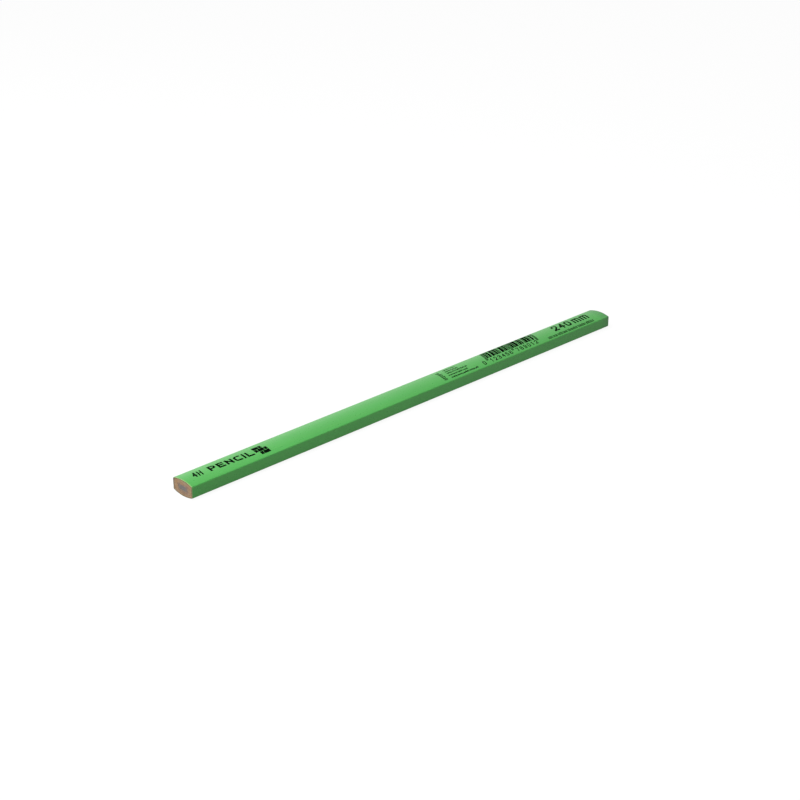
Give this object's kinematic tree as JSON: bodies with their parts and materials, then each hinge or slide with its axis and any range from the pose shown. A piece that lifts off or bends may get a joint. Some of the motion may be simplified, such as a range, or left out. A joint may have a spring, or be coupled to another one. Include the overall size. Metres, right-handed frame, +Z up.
{
  "type": "flat mason's pencil",
  "caption": "Flat wooden mason's pencil, unsharpened, with a wide flat core, green lacquer and a black-stamped crowned face.",
  "frame": {"origin": "middle of the bottom face, where the pencil rests on a table", "axes": "+X along the pencil away from the stamped grade mark, +Y across the broad face, +Z up through the stamped broad face"},
  "size_m": [0.24, 0.0114, 0.0067],
  "materials": {
    "wood": "sawn",
    "graphite": "sawn, slightly burnished",
    "glue": "matte",
    "primer": "matte",
    "lacquer": "satin gloss",
    "ink": "satin"
  },
  "bodies": {
    "root": {"upper_slat": "wood", "lower_slat": "wood", "graphite_core": "graphite", "core_glue_film": "glue", "seam_glue_left": "glue", "seam_glue_right": "glue", "primer_coat": "primer", "green_lacquer": "lacquer", "stamp_grade": "ink", "stamp_word": "ink", "stamp_device": "ink", "stamp_side_block": "ink", "stamp_small_lines": "ink", "stamp_bars": "ink", "stamp_digits": "ink", "stamp_length": "ink", "stamp_foot_line": "ink"}
  },
  "joints": []
}
